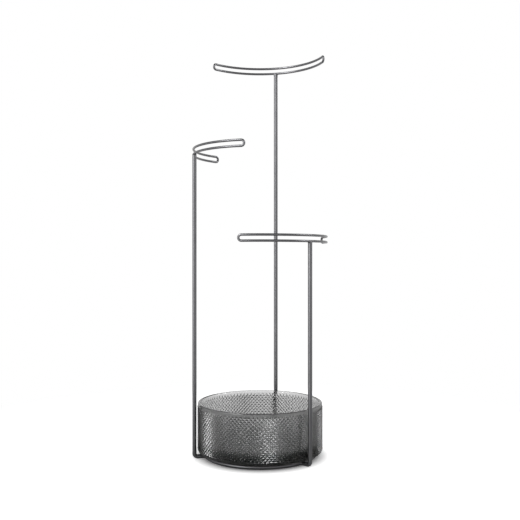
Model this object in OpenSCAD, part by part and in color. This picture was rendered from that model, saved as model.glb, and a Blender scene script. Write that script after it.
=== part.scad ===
// Three-tier jewelry stand: a welded frame of bent rod that holds a pressed glass dish.
// Sizes are in millimetres and +Z is up. The origin lies on the table, on the axis of the
// base ring. The tall stem stands at the back (+Y), the middle stem at the front left and
// the low stem at the front right, a third of a turn apart.

/* [Dish] */
// Outer diameter of the dish, over the points of its diamonds
dish_d = 136; // [110:1:170]
// Height of the dish from its base to its rim
dish_h = 53; // [35:1:80]
// Thickness of the side wall at the rim
dish_wall = 3.2; // [2.5:0.1:6]
// Lean of the inner wall, which lets the pressing tool out, in degrees
dish_draft = 1; // [0.5:0.25:3]
// Thickness of the base
dish_base = 6.5; // [4:0.5:12]
// Radius of the outer corner between base and wall
dish_corner_r = 3; // [2.5:0.5:10]
// Radius of the inner corner between floor and wall
dish_inner_r = 8; // [3:0.5:14]
// Rounding of the two edges of the rim
rim_r = 1.2; // [0.4:0.1:1.2]

/* [Pressed diamonds] */
// Number of diamonds in one row around the dish
diamonds_around = 100; // [60:1:110]
// Height of one diamond from its lower to its upper corner
diamond_h = 4.2; // [3.8:0.1:8]
// Height of the point of a diamond above the grooves around it
diamond_depth = 1.3; // [0.6:0.1:1.5]
// How far the point of a diamond stands out past the plain band
diamond_proud = 0.7; // [0.3:0.1:1]
// Plain band between the rim and the first row of diamonds
plain_band = 3; // [2:0.5:10]
// How far the diamonds run around the outer corner, in degrees
corner_cover = 20; // [10:5:60]

/* [Frame] */
// Diameter of the rod that the stems and the base ring are bent from
rod_d = 4.5; // [3.5:0.25:6]
// Gap between the dish and each stem
stem_play = 1.75; // [1:0.25:5]
// Gap between the top of the base ring and the dish that rests on it
seat_gap = 0.1; // [0.05:0.05:0.5]
// Inner radius of the bend at the foot of each stem
foot_bend = 1.25; // [0.5:0.25:4]
// How far the base ring lies inside the edge of the dish's flat base
ring_inset = 4.75; // [0.5:0.25:8]

/* [Arms] */
// Diameter of the wire of the arms
wire_d = 2.5; // [2:0.25:4]
// Clear gap between the two rails of an arm
rail_gap = 3.5; // [2:0.25:8]
// Angle that each arm sweeps around the stand, in degrees
arm_sweep = 120; // [60:5:160]
// Height of the middle of the tall arm above the table
tall_h = 434; // [370:1:520]
// Height of the middle of the middle arm above the table
middle_h = 327; // [270:1:350]
// Height of the middle of the low arm above the table
low_h = 233; // [150:1:255]

/* [Hidden] */

metal_colour = "#6a6a6b";
glass_colour = [0.36, 0.36, 0.37, 0.6];

// Where the three stems stand, counted anticlockwise from +X
tall_turn = 90;
middle_turn = 210;
low_turn = 330;

// The stems stand clear of the dish, and the arms follow the same circle above them
stem_circle_r = dish_d / 2 + stem_play + rod_d / 2;
bend_r = foot_bend + rod_d / 2;
rail_spacing = rail_gap + wire_d;

// The plain outside of the dish, which the grooves between the diamonds cut into, and where its
// parts lie
body_r = dish_d / 2 - diamond_proud;
groove_cut = diamond_depth - diamond_proud;
dish_z = rod_d + seat_gap;
rim_z = dish_z + dish_h;
corner_centre_r = body_r - dish_corner_r;
corner_centre_z = dish_z + dish_corner_r;

// The base ring runs under the flat part of the dish's base
ring_r = corner_centre_r - ring_inset;

// The foot's square end stands this share of the rod's diameter out from the ring's centre
foot_reach = 0.25;
foot_end_r = ring_r + foot_reach * rod_d;

// Rows of diamonds, measured down the wall and on around the corner
pattern_top = rim_z - plain_band;
straight_len = pattern_top - corner_centre_z;
covered_len = straight_len + dish_corner_r * corner_cover * PI / 180;
corner_end_len = straight_len + dish_corner_r * PI / 2;
half_rows = round(covered_len / (diamond_h / 2));
row_step = covered_len / half_rows;
columns = 2 * diamonds_around;

// Plain rings of points that finish the rim above and the corner below
rim_steps = 2;
corner_steps = 2;

// How far a cut runs past the surface that it opens
over = 1;

// A rail and the bend at its end lie this far apart, and a ball closes the joint between them.
// The ball is wider than the wire by a hair, so the joint stays whole at any sweep.
joint_gap = 0.1;
joint_ball_d = wire_d + 0.04;

// Smoothness of the wires, the bends and the cavity in the preview
wire_fn = 32;
bend_fn = 48;
circle_fn = 180;

// A wire bent to an arc of the given radius and angle, starting on +X
module bent_wire(r, d, angle, fn) {
    rotate_extrude(angle = angle, $fn = fn)
        translate([r, 0])
            circle(d = d, $fn = wire_fn);
}

// The full circle of the base ring, lying on the table
module ring_wire() {
    translate([0, 0, rod_d / 2])
        bent_wire(ring_r, rod_d, 360, circle_fn);
}

// One stem: a rod that stands upright, turns in at the table and meets the base ring.
// Its top is hollowed to cradle the arm's lower rail, and its foot to fit round the ring.
module stem(turn, arm_h) {
    rail_z = arm_h - rail_spacing / 2;
    bend_z = rod_d / 2 + bend_r;
    foot_run = stem_circle_r - bend_r - foot_end_r;
    color(metal_colour)
        difference() {
            rotate([0, 0, turn])
                union() {
                    translate([stem_circle_r, 0, bend_z])
                        cylinder(d = rod_d, h = rail_z - bend_z, $fn = wire_fn);
                    translate([stem_circle_r - bend_r, 0, bend_z])
                        rotate([-90, 0, 0])
                            bent_wire(bend_r, rod_d, 90, bend_fn);
                    translate([foot_end_r, 0, rod_d / 2])
                        rotate([0, 90, 0])
                            cylinder(d = rod_d, h = foot_run, $fn = wire_fn);
                }
            ring_wire();
            translate([0, 0, rail_z])
                bent_wire(stem_circle_r, wire_d, 360, circle_fn);
        }
}

// One arm: a closed loop of wire, with a rail above a rail and a half-round bend at each end
module arm(turn, arm_h) {
    color(metal_colour)
        translate([0, 0, arm_h])
            rotate([0, 0, turn - arm_sweep / 2])
                union() {
                    for (side = [-1, 1])
                        translate([0, 0, side * rail_spacing / 2])
                            bent_wire(stem_circle_r, wire_d, arm_sweep, circle_fn);
                    mirror([0, 1, 0])
                        arm_end();
                    rotate([0, 0, arm_sweep])
                        arm_end();
                }
}

// The half-round bend that joins the two rails, on the +Y side of rails that end on +X
module arm_end() {
    translate([stem_circle_r, joint_gap, 0])
        rotate([0, -90, 0])
            bent_wire(rail_spacing / 2, wire_d, 180, bend_fn);
    for (side = [-1, 1])
        translate([stem_circle_r, joint_gap / 2, side * rail_spacing / 2])
            sphere(d = joint_ball_d, $fn = wire_fn);
}

// Radius and height of the dish's outside, a length below the first row of diamonds,
// and stood out from the plain surface by the given amount
function side_point(len, out) =
    len <= straight_len
    ? [body_r + out, pattern_top - len]
    : let (a = (len - straight_len) / dish_corner_r * 180 / PI, r = dish_corner_r + out)
      [corner_centre_r + r * cos(a), corner_centre_z - r * sin(a)];

// Radius and height of the rim's outer rounding, from the top down
function rim_point(step) =
    let (a = 90 - 90 * step / rim_steps)
    [body_r - rim_r + rim_r * cos(a), rim_z - rim_r + rim_r * sin(a)];

// How far a point of the pattern stands out from the plain surface. Diamonds of neighbouring rows
// stand half a diamond apart, so every second point is a tip and the others lie in the grooves.
// The first and the last row run out into the plain surface.
function diamond_out(row, column) =
    row == 0 || row == half_rows ? 0
    : (row + column) % 2 == 0 ? diamond_proud
    : -groove_cut;

// A point of a profile, carried around the axis to one of the columns
function around(p, column) =
    let (a = 360 * column / columns)
    [p[0] * cos(a), p[0] * sin(a), p[1]];

// The solid outside of the dish: rim, plain band, diamonds, corner and flat base
module dish_outside() {
    last_column = columns - 1;
    first_row = rim_steps + 1;
    ring_count = first_row + half_rows + 1 + corner_steps;
    rim_points = [
        for (step = [0:rim_steps], column = [0:last_column])
            around(rim_point(step), column)
    ];
    diamond_points = [
        for (row = [0:half_rows], column = [0:last_column])
            around(side_point(row * row_step, diamond_out(row, column)), column)
    ];
    corner_points = [
        for (step = [1:corner_steps], column = [0:last_column])
            let (share = step / corner_steps)
            around(side_point(covered_len + (corner_end_len - covered_len) * share, 0), column)
    ];
    // Each square between two rings is split along its lower diagonal, never from tip to tip
    side_faces = [
        for (ring = [0:ring_count - 2], column = [0:last_column])
            let (
                next = (column + 1) % columns,
                a = ring * columns + column,
                b = ring * columns + next,
                c = (ring + 1) * columns + next,
                d = (ring + 1) * columns + column,
                tip_first = (ring - first_row + column) % 2 == 0
            )
            each (tip_first ? [[a, b, d], [b, c, d]] : [[a, b, c], [a, c, d]])
    ];
    top_face = [for (column = [last_column:-1:0]) column];
    bottom_face = [for (column = [0:last_column]) (ring_count - 1) * columns + column];
    polyhedron(
        points = concat(rim_points, diamond_points, corner_points),
        faces = concat([top_face, bottom_face], side_faces)
    );
}

// Half of the section of the hollow: flat floor, rounded corner, leaning wall, rounded rim
module hollow_section() {
    floor_z = dish_z + dish_base;
    fillet_z = floor_z + dish_inner_r;
    inner_rim_r = body_r - dish_wall;
    lean_z = fillet_z - dish_inner_r * sin(dish_draft);
    lean_r = inner_rim_r - (rim_z - lean_z) * tan(dish_draft);
    fillet_r = lean_r - dish_inner_r * cos(dish_draft);
    polygon([
        [0, floor_z],
        [fillet_r, floor_z],
        [fillet_r, fillet_z],
        [lean_r, lean_z],
        [inner_rim_r, rim_z],
        [inner_rim_r, rim_z + over],
        [0, rim_z + over]
    ]);
    translate([fillet_r, fillet_z])
        circle(r = dish_inner_r, $fn = bend_fn);
    difference() {
        translate([inner_rim_r - rim_r, rim_z - rim_r])
            square([2 * rim_r, rim_r + over]);
        translate([inner_rim_r + rim_r, rim_z - rim_r])
            circle(r = rim_r, $fn = bend_fn);
    }
}

module base_ring() {
    color(metal_colour)
        ring_wire();
}

module tall_stem() {
    stem(tall_turn, tall_h);
}

module middle_stem() {
    stem(middle_turn, middle_h);
}

module low_stem() {
    stem(low_turn, low_h);
}

module tall_arm() {
    arm(tall_turn, tall_h);
}

module middle_arm() {
    arm(middle_turn, middle_h);
}

module low_arm() {
    arm(low_turn, low_h);
}

module glass_dish() {
    color(glass_colour)
        difference() {
            dish_outside();
            rotate_extrude($fn = circle_fn)
                hollow_section();
        }
}

base_ring();
tall_stem();
middle_stem();
low_stem();
tall_arm();
middle_arm();
low_arm();
glass_dish();
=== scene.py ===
# %% [markdown]
# # A three-tier jewelry stand
#
# The stand is a welded frame of bent rod around a dish of pressed, smoke grey glass. Three stems
# rise from one ring on the table, and each carries an arm of two parallel rails.
#
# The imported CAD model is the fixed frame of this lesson. Each of its solids keeps its place and
# its form, and gets a finer surface here, worked out with numpy, and a material made of nodes.
#
# Blender counts in metres, so a length in millimetres is written times MM.

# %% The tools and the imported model
import math

import bpy
import numpy as np
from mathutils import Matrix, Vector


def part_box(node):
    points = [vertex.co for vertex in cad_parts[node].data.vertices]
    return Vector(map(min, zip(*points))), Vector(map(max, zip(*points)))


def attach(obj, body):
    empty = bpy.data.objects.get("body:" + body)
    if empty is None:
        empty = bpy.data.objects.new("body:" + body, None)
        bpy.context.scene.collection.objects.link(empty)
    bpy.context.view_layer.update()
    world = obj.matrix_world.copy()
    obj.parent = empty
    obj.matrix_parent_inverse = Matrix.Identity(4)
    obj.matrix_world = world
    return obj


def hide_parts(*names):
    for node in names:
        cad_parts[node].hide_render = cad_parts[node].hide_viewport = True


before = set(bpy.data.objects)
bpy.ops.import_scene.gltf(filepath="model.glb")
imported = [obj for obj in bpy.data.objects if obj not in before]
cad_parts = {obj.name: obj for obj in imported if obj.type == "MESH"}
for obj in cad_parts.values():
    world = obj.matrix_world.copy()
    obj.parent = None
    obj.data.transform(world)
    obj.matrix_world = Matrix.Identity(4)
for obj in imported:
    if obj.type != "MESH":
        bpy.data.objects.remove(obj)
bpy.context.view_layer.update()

MM = 0.001

# %% [markdown]
# ## The camera
#
# The picture is taken level, from well back, with a long lens, so that upright rods stay upright.
# The camera's place was found by fitting the stems, the rails and the ring to the photograph. Its
# distance, its height and the turn around the stand are enough to place it. The lens comes from
# the focal length in pixels, because that is what a fit to a picture gives.

# %% Camera
PICTURE_SIDE = 520
FOCAL_PIXELS = 726
SENSOR = 36.0
CAMERA_TURN = math.radians(15)
CAMERA_DISTANCE = 789 * MM
CAMERA_HEIGHT = 210.8 * MM


def towards(turn, rise=0):
    """A unit vector, turned to the right of the camera and raised, both in degrees.

    Its level part is the cosine of the rise, shared out by the sine and cosine of the turn, and
    its upright part is the sine of the rise.
    """
    angle = CAMERA_TURN + math.radians(turn)
    level = math.cos(math.radians(rise))
    return np.array([
        level * math.sin(angle), -level * math.cos(angle), math.sin(math.radians(rise)),
    ])


def new_object(name, data):
    """An object at the origin that shows the data, put into the scene."""
    thing = bpy.data.objects.new(name, data)
    bpy.context.scene.collection.objects.link(thing)
    return thing


camera_data = bpy.data.cameras.new("camera")
camera_data.sensor_width = SENSOR
camera_data.lens = SENSOR * FOCAL_PIXELS / PICTURE_SIDE
camera = new_object("camera", camera_data)
camera.location = CAMERA_DISTANCE * towards(0)
camera.location.z = CAMERA_HEIGHT
camera.rotation_euler = (math.radians(90), 0, CAMERA_TURN)
bpy.context.scene.camera = camera
bpy.context.scene.view_settings.view_transform = "Standard"
print("Lens in mm:", round(camera_data.lens, 2))

# %% [markdown]
# ## Three helpers for materials
#
# Colours are written as the sRGB hex values that a colour picker shows. Shaders work with linear
# light, so one function turns the one into the other. A second one adds a node with its settings
# and its links, which keeps each material down to the few lines that matter. The third one starts
# a material with no nodes.

# %% Colours and nodes


def linear(hex_colour):
    """A hex colour as linear red, green, blue and alpha, by the standard sRGB curve."""
    values = [int(hex_colour[i:i + 2], 16) / 255 for i in (1, 3, 5)]
    return [v / 12.92 if v <= 0.04045 else ((v + 0.055) / 1.055) ** 2.4 for v in values] + [1.0]


def add(tree, kind, inputs=None, **settings):
    """Adds a node. An input that is another node's socket is linked, and any other is set."""
    node = tree.nodes.new(kind)
    for name, value in settings.items():
        setattr(node, name, value)
    for socket, value in (inputs or {}).items():
        if isinstance(value, bpy.types.NodeSocket):
            tree.links.new(value, node.inputs[socket])
        else:
            node.inputs[socket].default_value = value
    return node


def new_material(name):
    """An empty material and its node tree."""
    material = bpy.data.materials.new(name)
    material.use_nodes = True
    material.node_tree.nodes.clear()
    return material, material.node_tree


WHITE = linear("#ffffff")
print("A middle grey, #808080, in linear light:", round(linear("#808080")[0], 3))

# %% [markdown]
# ## The studio
#
# The stand is shown on plain white. Metal and glass are mostly seen by what they reflect, so the
# room matters as much as the object. It is white all round at eye level, where the upright stems
# look, and dark overhead, where the level rails look. That makes the rails darker than the stems.
# The camera itself sees white everywhere.
#
# A tall soft light stands at the left. It is made of two round lamps: a small strong one high up
# puts the groups of bright points on the glass, and a wide weak one low down lights the left side
# of each stem. A third lamp at the right gives the glass its light edge there.
#
# Panels of light at a distance would do the same. A sun lamp with a wide angle is used instead,
# because it looks the same from every part of the stand, and only its direction and its width
# have to be found. Flags would keep such lamps off the table in a studio, and here a switch of
# each lamp does it.

# %% The room
CEILING_LIGHT = 0.2
CEILING_FROM = 0.15  # how far up a direction points, from 0, level, to 1, straight up
CEILING_TO = 0.8

world = bpy.data.worlds.new("studio")
bpy.context.scene.world = world
world.use_nodes = True
room_tree = world.node_tree
room_tree.nodes.clear()
direction = add(room_tree, "ShaderNodeTexCoord")
upwards = add(room_tree, "ShaderNodeSeparateXYZ", {0: direction.outputs["Generated"]})
room_strength = add(
    room_tree, "ShaderNodeMapRange",
    {
        "Value": upwards.outputs["Z"],
        "From Min": CEILING_FROM, "From Max": CEILING_TO,
        "To Min": 1.0, "To Max": CEILING_LIGHT,
    },
    interpolation_type="SMOOTHSTEP",
)
room = add(
    room_tree, "ShaderNodeBackground",
    {"Color": WHITE, "Strength": room_strength.outputs["Result"]},
)
backdrop = add(room_tree, "ShaderNodeBackground", {"Color": WHITE, "Strength": 1.0})
room_rays = add(room_tree, "ShaderNodeLightPath")
room_or_backdrop = add(
    room_tree, "ShaderNodeMixShader",
    {0: room_rays.outputs["Is Camera Ray"], 1: room.outputs[0], 2: backdrop.outputs[0]},
)
add(room_tree, "ShaderNodeOutputWorld", {"Surface": room_or_backdrop.outputs[0]})
print("The room's light: 1.0 at eye level and", CEILING_LIGHT, "overhead")

# %% The lamps


def soft_lamp(name, turn, rise, spread, strength):
    """A round soft light, turned from the camera, raised, and as wide as spread, in degrees.

    A sun lamp shines down its own -Z axis, so it is tilted from straight down to level, less the
    rise, and then turned.
    """
    data = bpy.data.lights.new(name, "SUN")
    data.angle = math.radians(spread)
    data.energy = strength
    lamp = new_object(name, data)
    lamp.location = towards(turn, rise)
    lamp.rotation_euler = (math.radians(90 - rise), 0, CAMERA_TURN + math.radians(turn))
    lamp.visible_camera = False
    lamp.visible_diffuse = False
    print(name, "turned by", turn, "and raised by", rise, "degrees, strength", strength)


soft_lamp("soft_lamp_left", turn=-54, rise=36, spread=24, strength=1.85)
soft_lamp("soft_lamp_low", turn=-46, rise=14, spread=46, strength=1.5)
soft_lamp("soft_lamp_right", turn=88, rise=27, spread=24, strength=1.1)

# %% [markdown]
# ## The table
#
# The table is a white disc, which fades into plain white at its edge. A painted disc alone would
# come out grey, and a lamp on it would throw hard shadows. So its paint glows as well: not around
# the ring, where the soft contact shadow has to stay, and in full outside the stems. Under the
# dish it glows a little, for the light that comes down through the glass.
#
# Only the camera sees the whole glow, straight on or through the glass, and it lights nothing.
# The metal mirrors a tenth of it, because the low wires look dark towards the table.

# %% The table's glow
TABLE_RADIUS = 450 * MM
TABLE_FADE = 300 * MM
TABLE_GLOW = 0.95
GLOW_FROM = 60 * MM
GLOW_TO = 78 * MM
UNDER_GLASS = 0.3
UNDER_FROM = 48 * MM
UNDER_TO = 56 * MM

table_material, table_tree = new_material("white_table")
place = add(table_tree, "ShaderNodeTexCoord")
reach = add(
    table_tree, "ShaderNodeVectorMath", {0: place.outputs["Object"]}, operation="LENGTH",
)
outside_glow = add(
    table_tree, "ShaderNodeMapRange",
    {
        "Value": reach.outputs["Value"],
        "From Min": GLOW_FROM, "From Max": GLOW_TO, "To Max": TABLE_GLOW,
    },
)
under_glow = add(
    table_tree, "ShaderNodeMapRange",
    {
        "Value": reach.outputs["Value"],
        "From Min": UNDER_FROM, "From Max": UNDER_TO, "To Min": UNDER_GLASS, "To Max": 0.0,
    },
)
glow_strength = add(
    table_tree, "ShaderNodeMath",
    {0: outside_glow.outputs["Result"], 1: under_glow.outputs["Result"]},
    operation="ADD",
)
paint = add(table_tree, "ShaderNodeBsdfDiffuse", {"Color": WHITE})
glow = add(table_tree, "ShaderNodeEmission", {"Strength": glow_strength.outputs[0]})
near = add(table_tree, "ShaderNodeAddShader", {0: paint.outputs[0], 1: glow.outputs[0]})
far = add(table_tree, "ShaderNodeEmission", {"Strength": 1.0})
fading = add(
    table_tree, "ShaderNodeMapRange",
    {"Value": reach.outputs["Value"], "From Min": TABLE_FADE, "From Max": TABLE_RADIUS},
    interpolation_type="SMOOTHSTEP",
)
faded = add(
    table_tree, "ShaderNodeMixShader",
    {0: fading.outputs["Result"], 1: near.outputs[0], 2: far.outputs[0]},
)
print("The table glows by", TABLE_GLOW, "outside the stems and by", UNDER_GLASS, "under the dish")

# %% What sees the glow
TABLE_MIRRORED = 0.1

table_rays = add(table_tree, "ShaderNodeLightPath")
straight_on = add(
    table_tree, "ShaderNodeMath",
    {0: table_rays.outputs["Is Camera Ray"], 1: table_rays.outputs["Is Transmission Ray"]},
    operation="MAXIMUM",
)
mirrored = add(
    table_tree, "ShaderNodeMath",
    {0: table_rays.outputs["Is Glossy Ray"], 1: TABLE_MIRRORED},
    operation="MULTIPLY",
)
share_seen = add(
    table_tree, "ShaderNodeMath",
    {0: straight_on.outputs[0], 1: mirrored.outputs[0]},
    operation="MAXIMUM",
)
table_surface = add(
    table_tree, "ShaderNodeMixShader",
    {0: share_seen.outputs[0], 1: paint.outputs[0], 2: faded.outputs[0]},
)
add(table_tree, "ShaderNodeOutputMaterial", {"Surface": table_surface.outputs[0]})
print("The table's material has", len(table_tree.nodes), "nodes")

# %% The table's disc
TABLE_STEPS = 96


def full_turn(steps):
    """Angles that divide a full turn into equal steps."""
    return np.arange(steps) / steps * 2 * math.pi


def circle(radius, height, angles):
    """Points on a level circle: the radius times cosine and sine of each angle, and the height."""
    return np.stack([
        radius * np.cos(angles), radius * np.sin(angles), np.full(len(angles), height),
    ], axis=1)


table_edge = circle(TABLE_RADIUS, 0.0, full_turn(TABLE_STEPS))
table_mesh = bpy.data.meshes.new("table")
table_mesh.from_pydata(table_edge.tolist(), [], [list(range(TABLE_STEPS))])
table_mesh.materials.append(table_material)
table = new_object("table", table_mesh)
print("The table in mm:", [round(v / MM) for v in table.dimensions])

# %% [markdown]
# ## Gunmetal plating
#
# The rods and wires are drawn steel with a dark nickel plating, which dealers call gunmetal. The
# die leaves hair-fine lines along the wire, and the plating covers them with a satin skin. So the
# reflections are soft, a little softer across the wire than along it, and the grey is cool and
# even.
#
# An anisotropic shader could draw out the reflections too, but it shows no lines. Here a noise
# that is stretched along the wire gives the lines themselves, as changes in roughness and as very
# low ridges. They have to follow every bend. Each piece therefore carries an attribute, straight,
# which says where a point would lie if its wire were pulled straight, and the noise reads that.
# Real lines are about 0.05 mm apart. Here they are 0.3 mm, so that they show.
#
# A second noise, 25 mm in size, lets the grey drift a little, as the thickness of plating does.

# %% Gunmetal material
LINE_SPACING = 0.3 * MM
LINE_STRETCH = 60
LINE_HEIGHT = 0.01 * MM
LINE_STRENGTH = 0.1
CLOUD_SIZE = 25 * MM
NOISE_RANGE = (0.3, 0.7)  # where nearly all values of a noise lie
GREYS = ("#636365", "#6b6b6d")
SATIN_ROUGHNESS = (0.29, 0.35)


def satin_gunmetal_plating():
    """Dark nickel plating on drawn steel: full metal, with soft lines along the wire."""
    material, tree = new_material("satin_gunmetal_plating")
    straight = add(tree, "ShaderNodeAttribute", attribute_name="straight")
    stretched = add(
        tree, "ShaderNodeMapping",
        {"Vector": straight.outputs["Vector"], "Scale": (1, 1, 1 / LINE_STRETCH)},
    )
    lines = add(
        tree, "ShaderNodeTexNoise",
        {"Vector": stretched.outputs["Vector"], "Scale": 1 / LINE_SPACING, "Detail": 3.0},
    )
    place = add(tree, "ShaderNodeTexCoord")
    clouds = add(
        tree, "ShaderNodeTexNoise",
        {"Vector": place.outputs["Object"], "Scale": 1 / CLOUD_SIZE, "Detail": 2.0},
    )
    colour = add(tree, "ShaderNodeValToRGB", {"Fac": clouds.outputs["Fac"]})
    for stop, position, grey in zip(colour.color_ramp.elements, NOISE_RANGE, GREYS):
        stop.position = position
        stop.color = linear(grey)
    roughness = add(
        tree, "ShaderNodeMapRange",
        {
            "Value": lines.outputs["Fac"],
            "From Min": NOISE_RANGE[0], "From Max": NOISE_RANGE[1],
            "To Min": SATIN_ROUGHNESS[0], "To Max": SATIN_ROUGHNESS[1],
        },
    )
    ridges = add(
        tree, "ShaderNodeBump",
        {"Height": lines.outputs["Fac"], "Strength": LINE_STRENGTH, "Distance": LINE_HEIGHT},
    )
    metal = add(
        tree, "ShaderNodeBsdfPrincipled",
        {
            "Base Color": colour.outputs["Color"],
            "Metallic": 1.0,
            "Roughness": roughness.outputs["Result"],
            "Normal": ridges.outputs["Normal"],
        },
    )
    add(tree, "ShaderNodeOutputMaterial", {"Surface": metal.outputs["BSDF"]})
    return material


gunmetal = satin_gunmetal_plating()
print(gunmetal.name, "nodes:", len(gunmetal.node_tree.nodes), "roughness:", SATIN_ROUGHNESS)

# %% [markdown]
# ## A wire as a surface
#
# Every wire here is a round section carried along a line. At each point of the line stand two unit
# vectors, one to the side and one across, both at a right angle to the line. A point of the
# surface is the line's point, plus the side vector times the cosine of an angle, plus the cross
# vector times its sine, each times a half width. The whole grid comes from one array expression,
# with no loop over points.
#
# A curve with a round bevel would give plain wires as well. The formula is used because its two
# half widths can change along the line, which makes the swelling of a weld.

# %% The faces of a grid


def grid_faces(rows, columns, closed):
    """Four corners for each square of a grid that runs right round, and to row 0 if closed.

    A point's number is its row times the columns, plus its column.
    """
    row = np.arange(rows if closed else rows - 1)[:, None]
    column = np.arange(columns)[None, :]
    row_after = (row + 1) % rows
    column_after = (column + 1) % columns
    corners = [
        row * columns + column,
        row * columns + column_after,
        row_after * columns + column_after,
        row_after * columns + column,
    ]
    return np.stack([c.ravel() for c in corners], axis=1)


def outward(points, faces):
    """The faces, turned over if the volume that they enclose comes out negative.

    Each square abcd adds the two volumes a . (b x c) and a . (c x d), seen from the origin.
    """
    a, b, c, d = (points[faces[:, i]] for i in range(4))
    volume = np.einsum("ij,ij->i", a, np.cross(b, c)) + np.einsum("ij,ij->i", a, np.cross(c, d))
    return faces if volume.sum() > 0 else faces[:, ::-1]


print("Squares of a closed grid of 3 rows and 4 columns:", len(grid_faces(3, 4, True)))

# %% A finished piece of wire


def wire_piece(name, points, faces, ends, stands_for):
    """A smooth mesh from points, squares and the rings of points that close its ends."""
    mesh = bpy.data.meshes.new(name)
    mesh.from_pydata(points.tolist(), [], faces.tolist() + [ring.tolist() for ring in ends])
    mesh.shade_smooth()
    mesh.materials.append(gunmetal)
    piece = new_object(name, mesh)
    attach(piece, "root")
    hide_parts(stands_for)
    size = points.max(axis=0) - points.min(axis=0)
    print(name, "faces:", len(mesh.polygons), "size in mm:", np.round(size / MM, 2))
    return piece


def add_straight(piece, line, radius, angle, closed):
    """Stores where each point would lie if the wire were straight and stood on its end.

    That is the radius times cosine and sine of the angle, and the length along the line. A closed
    loop counts its length up and then down again, so that it has no seam.
    """
    steps = np.linalg.norm(np.diff(line, axis=0), axis=1)
    length = np.concatenate([[0], np.cumsum(steps)])
    if closed:
        length = np.minimum(length, length[-1] - length)
    straight = np.stack([
        radius[:, None] * np.cos(angle)[None, :],
        radius[:, None] * np.sin(angle)[None, :],
        np.repeat(length[:, None], len(angle), axis=1),
    ], axis=2)
    attribute = piece.data.attributes.new("straight", "FLOAT_VECTOR", "POINT")
    attribute.data.foreach_set("vector", straight.astype(np.float32).ravel())


# %% A section carried along a line


def sweep(name, line, side, half_side, half_cross, columns, closed, stands_for):
    """A wire: line + cos(a) * half_side * side + sin(a) * half_cross * cross.

    line holds the points of the centreline and side a unit vector beside each of them. The cross
    vector is the line's direction times the side vector.
    """
    if closed:
        ahead = np.roll(line, -1, axis=0) - np.roll(line, 1, axis=0)
    else:
        ahead = np.gradient(line, axis=0)
    cross = np.cross(ahead, side)
    cross = cross / np.linalg.norm(cross, axis=1, keepdims=True)
    angle = full_turn(columns)
    half_side = np.broadcast_to(half_side, len(line))[:, None, None]
    half_cross = np.broadcast_to(half_cross, len(line))[:, None, None]
    points = (
        line[:, None]
        + half_side * np.cos(angle)[None, :, None] * side[:, None]
        + half_cross * np.sin(angle)[None, :, None] * cross[:, None]
    ).reshape(-1, 3)
    squares = grid_faces(len(line), columns, closed)
    faces = outward(points, squares)
    ends = []
    if not closed:
        first = np.arange(columns)
        last = first + (len(line) - 1) * columns
        ends = [first[::-1], last] if faces is squares else [first, last[::-1]]
    piece = wire_piece(name, points, faces, ends, stands_for)
    add_straight(piece, line, half_side[:, 0, 0], angle, closed)


# %% [markdown]
# ## The base ring
#
# The stand rests on one ring of 4.5 mm rod, which also carries the dish. A bent and butt-welded
# ring has no visible seam under the plating, so a plain closed sweep around a circle is enough.
# Blender's own torus has the same shape, but not the attribute that the plating needs.

# %% Base ring
ROD_RADIUS = 2.25 * MM
ROD_COLUMNS = 48
RING_STEPS = 192

ring_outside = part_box("base_ring")[1].x
RING_RADIUS = round((ring_outside - ROD_RADIUS) / MM, 2) * MM

ring_turns = full_turn(RING_STEPS)
sweep(
    "base_ring_rod", circle(RING_RADIUS, ROD_RADIUS, ring_turns), circle(1, 0, ring_turns),
    ROD_RADIUS, ROD_RADIUS, ROD_COLUMNS, True, "base_ring",
)

# %% [markdown]
# ## The stems
#
# Each stem is one rod: a short foot from the ring outwards, a tight bend and a long upright. It is
# drawn in its own plane, by its distance from the stand's axis and its height.
#
# Both ends are welded, and a weld shows as a small hollow fillet in the corner. It could be a
# piece of its own, but then a seam would show around it. So the rod itself swells: near the ring
# its half width along the ring grows by a quarter circle, and so does its half width along the
# rail at the top, while the other half width rounds down to the thinner rail.

# %% The fillet of a weld
WELD = 1.1 * MM


def fillet(distance, size):
    """How far a hollow quarter circle of that size stands out, at a distance from the corner.

    It is the size, less the root of its square less the square of the reach, which is how far
    inside the fillet's end the place lies.
    """
    reach = np.clip(size - distance, 0, size)
    return size - np.sqrt(size ** 2 - reach ** 2)


quarters = np.linspace(0, WELD, 5)
print("A weld's fillet in mm, from the corner outwards:", np.round(fillet(quarters, WELD) / MM, 2))

# %% The path of a stem
WIRE_RADIUS = 1.25 * MM
STEM_CIRCLE = 72 * MM
FOOT_BEND = 3.5 * MM
FOOT_END = 0.2 * ROD_RADIUS  # past the middle of the ring's rod, so inside it
FOOT_WELD_FROM = 0.6 * ROD_RADIUS
FOOT_WELD_LENGTH = 2 * WELD
TOP_WELD_LENGTH = 1.5 * WELD
ABOVE_BEND = 1 * MM
WELD_POINTS = 9
BEND_POINTS = 15
UPRIGHT_POINTS = 24


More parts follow.
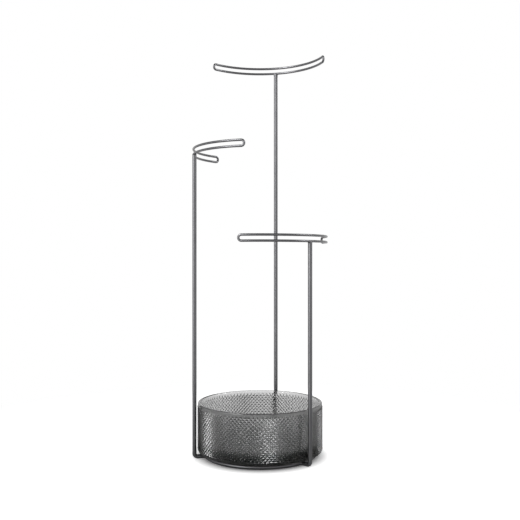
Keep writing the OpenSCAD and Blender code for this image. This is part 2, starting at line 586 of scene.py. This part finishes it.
def stem_path(top):
    """Distance from the axis and height, along the middle of the rod, from the ring to the top.

    It runs level outwards, then around a quarter circle, by the sine and cosine of the bend, and
    then straight up.
    """
    weld = np.linspace(0, 1, WELD_POINTS)
    foot_out = RING_RADIUS + FOOT_WELD_FROM + weld * FOOT_WELD_LENGTH
    bend = np.linspace(0, math.pi / 2, BEND_POINTS)
    bend_out = STEM_CIRCLE - FOOT_BEND + FOOT_BEND * np.sin(bend)
    bend_up = ROD_RADIUS + FOOT_BEND - FOOT_BEND * np.cos(bend)
    crown_start = top - WIRE_RADIUS - TOP_WELD_LENGTH
    upright_up = np.linspace(bend_up[-1] + ABOVE_BEND, crown_start, UPRIGHT_POINTS)
    crown_up = crown_start + (WIRE_RADIUS + TOP_WELD_LENGTH) * weld[1:]
    out = np.concatenate([
        [RING_RADIUS + FOOT_END], foot_out, bend_out,
        np.full(len(upright_up) + len(crown_up), STEM_CIRCLE),
    ])
    up = np.concatenate([
        [ROD_RADIUS], np.full(len(foot_out), ROD_RADIUS), bend_up, upright_up, crown_up,
    ])
    return out, up


tall_out, tall_up = stem_path(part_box("tall_stem")[1].z)
rod_length = np.hypot(np.diff(tall_out), np.diff(tall_up)).sum()
print("Rod in the tall stem in mm:", round(rod_length / MM, 1))

# %% Stems
STEM_TURNS = {"tall": 90, "middle": 210, "low": 330}
TOP_PART = 10 * MM
TOP_FIT = 0.9  # the rod's top is a tenth thinner than the rail, so that it stays inside


def stem(tier):
    """One stem, with its foot welded to the ring and its top to the arm's lower rail.

    Beside the line its half width is the rod's radius plus the fillet. Across the line it is the
    rod's radius, less a quarter round over the part that goes into the rail.
    """
    node = tier + "_stem"
    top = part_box(node)[1].z
    out, up = stem_path(top)
    turn = math.radians(STEM_TURNS[tier])
    outwards = np.array([math.cos(turn), math.sin(turn), 0])
    beside = np.array([-math.sin(turn), math.cos(turn), 0])
    line = out[:, None] * outwards + up[:, None] * np.array([0, 0, 1])
    side = np.repeat(beside[None, :], len(line), axis=0)
    below_rail = top - WIRE_RADIUS - up
    past_ring = out - (RING_RADIUS + ROD_RADIUS)
    at_top = up > top - TOP_PART
    to_corner = np.where(at_top, below_rail, past_ring)
    swelling = fillet(np.maximum(to_corner, 0), WELD)
    into_rail = np.clip(-below_rail / WIRE_RADIUS, 0, 1) * at_top
    narrowing = (ROD_RADIUS - TOP_FIT * WIRE_RADIUS) * (1 - np.sqrt(1 - into_rail ** 2))
    sweep(
        node + "_rod", line, side, ROD_RADIUS + swelling, ROD_RADIUS - narrowing,
        ROD_COLUMNS, False, node,
    )


for tier in STEM_TURNS:
    stem(tier)

# %% [markdown]
# ## The arms
#
# An arm is one closed loop of 2.5 mm wire: a rail, a half-round bend, a second rail above the
# first, and a bend back down. The rails follow the circle on which the stems stand.
#
# A sweep twists where its side vector turns around the line. Here the vector that points away
# from the stand's axis is at a right angle to the wire all the way round, on the rails and in the
# bends, so it serves as the side vector and nothing twists.

# %% Arms
ARM_SWEEP = 120
ARM_POINTS = 49
END_POINTS = 17
RAIL_SPACING = 6 * MM
WIRE_COLUMNS = 32


def arm(tier):
    """One arm: rails at two heights over one arc, and a half-round bend beyond each end.

    A bend is its middle, plus half the spacing of the rails times the cosine onwards and the sine
    upwards.
    """
    node = tier + "_arm"
    low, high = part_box(node)
    middle = (low.z + high.z) / 2
    half = math.radians(ARM_SWEEP / 2)
    turn = math.radians(STEM_TURNS[tier])
    along = np.linspace(-half, half, ARM_POINTS)
    lower = circle(STEM_CIRCLE, middle - RAIL_SPACING / 2, turn + along)
    upper = circle(STEM_CIRCLE, middle + RAIL_SPACING / 2, turn - along)
    bend = np.linspace(-math.pi / 2, math.pi / 2, END_POINTS)[1:-1]

    def end_bend(sign):
        """The bend past one end, from the lower rail up if sign is 1, and down if it is -1."""
        end = turn + sign * half
        start = circle(STEM_CIRCLE, middle, np.array([end]))
        onwards = sign * np.array([[-math.sin(end), math.cos(end), 0]])
        upwards = sign * np.array([[0, 0, 1]])
        return start + RAIL_SPACING / 2 * (
            np.cos(bend)[:, None] * onwards + np.sin(bend)[:, None] * upwards
        )

    line = np.concatenate([lower, end_bend(1), upper, end_bend(-1)])
    line_turns = np.concatenate([
        turn + along, np.full(len(bend), turn + half),
        turn - along, np.full(len(bend), turn - half),
    ])
    sweep(
        node + "_wire", line, circle(1, 0, line_turns), WIRE_RADIUS, WIRE_RADIUS,
        WIRE_COLUMNS, True, node,
    )


for tier in STEM_TURNS:
    arm(tier)

# %% [markdown]
# ## Smoke grey pressed glass
#
# The dish is soda-lime glass, coloured grey in the melt and pressed between a ribbed mould and a
# plain plunger. Flames then melt the skin until it shines, and that rounds every edge a little.
#
# The grey is in the body of the glass, not on its skin: 3 mm of wall lets about half of the light
# through, and the thick base seen from the side lets almost none through. A tinted skin would be
# the same grey everywhere. A volume that absorbs light gets this right by itself.
#
# The skin is clear, with the slight waviness of pressed glass as a bump, about 9 mm from crest to
# crest, because cutting it into the mesh would need many more faces. The plunger's side comes out
# of the flames smooth. The mould's side is less smooth, and about a quarter of it keeps the matt
# chill of the iron. The mesh says by an attribute, mould_side, which side a point is on.

# %% Glass material
GLASS_IOR = 1.52
GLASS_DENSITY = 0.19 / MM
WAVE_SIZE = 9 * MM
WAVE_HEIGHT = 0.15 * MM
WAVE_STRENGTH = 0.05
PLUNGER_ROUGHNESS = 0.06
MOULD_ROUGHNESS = 0.2
CHILL_ROUGHNESS = 0.28
CHILL_SHARE = 0.28


def smoked_pressed_glass():
    """A clear skin, smoother inside than outside, around a grey body that absorbs light."""
    material, tree = new_material("smoked_pressed_glass")
    place = add(tree, "ShaderNodeTexCoord")
    waves = add(
        tree, "ShaderNodeTexNoise",
        {"Vector": place.outputs["Object"], "Scale": 1 / WAVE_SIZE, "Detail": 1.0},
    )
    waviness = add(
        tree, "ShaderNodeBump",
        {"Height": waves.outputs["Fac"], "Strength": WAVE_STRENGTH, "Distance": WAVE_HEIGHT},
    )
    mould_side = add(tree, "ShaderNodeAttribute", attribute_name="mould_side")
    roughness = add(
        tree, "ShaderNodeMapRange",
        {
            "Value": mould_side.outputs["Fac"],
            "To Min": PLUNGER_ROUGHNESS, "To Max": MOULD_ROUGHNESS,
        },
    )
    chill = add(
        tree, "ShaderNodeMath",
        {0: mould_side.outputs["Fac"], 1: CHILL_SHARE},
        operation="MULTIPLY",
    )
    clear_glass = {
        "Base Color": WHITE,
        "IOR": GLASS_IOR,
        "Transmission Weight": 1.0,
        "Normal": waviness.outputs["Normal"],
    }
    bright = add(
        tree, "ShaderNodeBsdfPrincipled",
        {**clear_glass, "Roughness": roughness.outputs["Result"]},
    )
    chilled = add(
        tree, "ShaderNodeBsdfPrincipled", {**clear_glass, "Roughness": CHILL_ROUGHNESS},
    )
    skin = add(
        tree, "ShaderNodeMixShader",
        {0: chill.outputs[0], 1: bright.outputs["BSDF"], 2: chilled.outputs["BSDF"]},
    )
    body = add(
        tree, "ShaderNodeVolumeAbsorption",
        {"Color": linear("#000000"), "Density": GLASS_DENSITY},
    )
    add(
        tree, "ShaderNodeOutputMaterial",
        {"Surface": skin.outputs["Shader"], "Volume": body.outputs["Volume"]},
    )
    return material


smoked_glass = smoked_pressed_glass()
print(smoked_glass.name, "nodes:", len(smoked_glass.node_tree.nodes), "IOR:", GLASS_IOR)

# %% [markdown]
# ## The dish
#
# The dish is a profile carried around the axis. Between its rim and its lower corner the mould has
# cut crossing grooves, which leave small four-sided points, or diamonds. A bump could paint them
# on, but their glints and the nicked outline need real facets.
#
# On a grid of two columns and two rows to a diamond, a point of the grid is a tip where its row and
# its column add up to an even number, and otherwise it lies in a groove. Splitting each square of
# the grid from groove to groove gives four flat facets to a diamond. A bevel then rounds every
# ridge and groove by a tenth of a millimetre or so, and its hardened normals keep the facets flat.

# %% The dish's sizes
DISH_BASE = 6.5 * MM
DISH_WALL = 3.2 * MM
DISH_DRAFT = math.radians(1)
CORNER_RADIUS = 3 * MM
INNER_RADIUS = 8 * MM
RIM_RADIUS = 1.2 * MM
DIAMONDS = 100
DIAMOND_HEIGHT = 4.2 * MM
DIAMOND_DEPTH = 1.3 * MM
DIAMOND_PROUD = 0.7 * MM
PLAIN_BAND = 3 * MM
CORNER_COVER = math.radians(20)

dish_low, dish_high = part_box("glass_dish")
band_radius = round(dish_high.x / MM, 1) * MM - DIAMOND_PROUD
corner_centre = (band_radius - CORNER_RADIUS, dish_low.z + CORNER_RADIUS)
pattern_top = dish_high.z - PLAIN_BAND
wall_length = pattern_top - corner_centre[1]
pattern_length = wall_length + CORNER_RADIUS * CORNER_COVER
half_rows = round(pattern_length / (DIAMOND_HEIGHT / 2))
COLUMNS = 2 * DIAMONDS
print("Diamonds around:", DIAMONDS, "and half rows of them down the wall:", half_rows)
print("Light that the wall lets through:", round(math.exp(-GLASS_DENSITY * DISH_WALL), 2))

# %% The dish's outside


def outer_side(length, out):
    """Radius and height, a length below the pattern's top, stood out from the plain surface.

    They run straight down and then around the lower corner: its centre, plus the corner's radius
    and what stands out, times the cosine outwards and the sine downwards.
    """
    angle = np.maximum(length - wall_length, 0) / CORNER_RADIUS
    radius = corner_centre[0] + (CORNER_RADIUS + out) * np.cos(angle)
    height = np.where(
        length <= wall_length,
        pattern_top - length,
        corner_centre[1] - (CORNER_RADIUS + out) * np.sin(angle),
    )
    return radius, height


def diamond_rows():
    """The rows of the pattern: every second point is a tip, and the others lie in the grooves.

    The first and the last row run out into the plain surface.
    """
    row = np.arange(half_rows + 1)[:, None]
    column = np.arange(COLUMNS)[None, :]
    tip = (row + column) % 2 == 0
    runs_out = (row == 0) | (row == half_rows)
    out = np.where(tip, DIAMOND_PROUD, DIAMOND_PROUD - DIAMOND_DEPTH) * ~runs_out
    return outer_side(row * pattern_length / half_rows, out)


row_radius = diamond_rows()[0] / MM
print("The pattern's radius in mm:", round(row_radius.min(), 2), "to", round(row_radius.max(), 2))

# %% The dish's profile
INNER_STEPS = 10
RIM_STEPS = 5
CORNER_STEPS = 6


def arc(centre_radius, centre_height, radius, start, end, steps):
    """Radius and height along an arc, from one angle to another in degrees, both included.

    They are the centre plus the radius times the cosine outwards and the sine upwards.
    """
    angle = np.radians(np.linspace(start, end, steps + 1))
    return centre_radius + radius * np.cos(angle), centre_height + radius * np.sin(angle)


def plain(radius, height):
    """Rows of the grid that are the same all the way round."""
    row = np.ones((1, COLUMNS))
    return radius[:, None] * row, height[:, None] * row


def dish_rows():
    """All rows of the dish, from the edge of its floor, over the rim, to the edge of its base.

    The inner wall leans by the draft: its foot is nearer to the axis than its top by its height
    times the tangent of the draft, and the inner corner's arc meets it there.
    """
    inner_height = dish_low.z + DISH_BASE + INNER_RADIUS
    inner_rim = band_radius - DISH_WALL
    lean_height = inner_height - INNER_RADIUS * math.sin(DISH_DRAFT)
    lean_radius = inner_rim - (dish_high.z - lean_height) * math.tan(DISH_DRAFT)
    inner_radius = lean_radius - INNER_RADIUS * math.cos(DISH_DRAFT)
    rim_height = dish_high.z - RIM_RADIUS
    corner_end = wall_length + CORNER_RADIUS * math.pi / 2
    below = np.linspace(pattern_length, corner_end, CORNER_STEPS + 1)[1:]
    parts = [
        plain(*arc(inner_radius, inner_height, INNER_RADIUS, -90, 0, INNER_STEPS)),
        plain(*arc(inner_rim + RIM_RADIUS, rim_height, RIM_RADIUS, 180, 90, RIM_STEPS)),
        plain(*arc(band_radius - RIM_RADIUS, rim_height, RIM_RADIUS, 90, 0, RIM_STEPS)),
        diamond_rows(),
        plain(*outer_side(below, np.zeros(len(below)))),
    ]
    return [np.concatenate([part[i] for part in parts]) for i in (0, 1)]


dish_radius, dish_height = dish_rows()
FIRST_ROW = len(dish_radius) - 1 - CORNER_STEPS - half_rows
LAST_ROW = FIRST_ROW + half_rows
print("Rows of the dish:", len(dish_radius), "with the pattern from", FIRST_ROW, "to", LAST_ROW)

# %% The facets, and what each point and edge is


def split_squares(faces):
    """Two triangles for each square of the pattern, cut from groove to groove, and the rest."""
    row = faces[:, 0] // COLUMNS
    column = faces[:, 0] % COLUMNS
    inside = (row >= FIRST_ROW) & (row < LAST_ROW)
    tip_first = (row - FIRST_ROW + column) % 2 == 0
    tip = faces[inside & tip_first]
    groove = faces[inside & ~tip_first]
    triangles = np.concatenate([
        tip[:, [0, 1, 3]], tip[:, [1, 2, 3]], groove[:, [0, 1, 2]], groove[:, [0, 2, 3]],
    ])
    return triangles, faces[~inside]


def mark_mould_side(mesh):
    """Stores which side a point is on: 1 on the mould's, from the rim outwards, and 0 inside."""
    row = np.arange(len(mesh.vertices)) // COLUMNS
    outside = row >= FIRST_ROW - (RIM_STEPS + 1)
    attribute = mesh.attributes.new("mould_side", "FLOAT", "POINT")
    attribute.data.foreach_set("value", outside.astype(np.float32))


def mark_diamond_edges(mesh):
    """Gives every edge inside the pattern the weight that the bevel looks for."""
    ends = np.zeros(2 * len(mesh.edges), np.int32)
    mesh.edges.foreach_get("vertices", ends)
    row = ends.reshape(-1, 2) // COLUMNS
    inside = (row.min(axis=1) >= FIRST_ROW) & (row.max(axis=1) <= LAST_ROW)
    flat = (row[:, 0] == row[:, 1]) & ((row[:, 0] == FIRST_ROW) | (row[:, 0] == LAST_ROW))
    weight = mesh.attributes.new("bevel_weight_edge", "FLOAT", "EDGE")
    weight.data.foreach_set("value", (inside & ~flat).astype(np.float32))


# %% Dish
EDGE_ROUNDING = 0.12 * MM


def glass_dish():
    """The dish: its profile carried around the axis, with its ridges and grooves rounded.

    A point is the radius times cosine and sine of its column's angle, and the height.
    """
    angle = full_turn(COLUMNS)
    points = np.stack([
        dish_radius * np.cos(angle), dish_radius * np.sin(angle), dish_height,
    ], axis=2).reshape(-1, 3)
    rows = len(dish_radius)
    triangles, squares = split_squares(outward(points, grid_faces(rows, COLUMNS, False)))
    floor_ring = np.arange(COLUMNS)
    base_ring = (floor_ring + (rows - 1) * COLUMNS)[::-1]
    mesh = bpy.data.meshes.new("smoked_dish")
    mesh.from_pydata(
        points.tolist(), [],
        squares.tolist() + triangles.tolist() + [floor_ring.tolist(), base_ring.tolist()],
    )
    mesh.shade_smooth()
    mesh.materials.append(smoked_glass)
    mark_diamond_edges(mesh)
    mark_mould_side(mesh)
    dish = new_object("smoked_dish", mesh)
    rounding = dish.modifiers.new("fire_polish", "BEVEL")
    rounding.limit_method = "WEIGHT"
    rounding.width = EDGE_ROUNDING
    rounding.segments = 1
    rounding.harden_normals = True
    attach(dish, "root")
    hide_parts("glass_dish")
    return dish


dish = glass_dish()
print("smoked_dish faces:", len(dish.data.polygons), "before its edges are rounded")
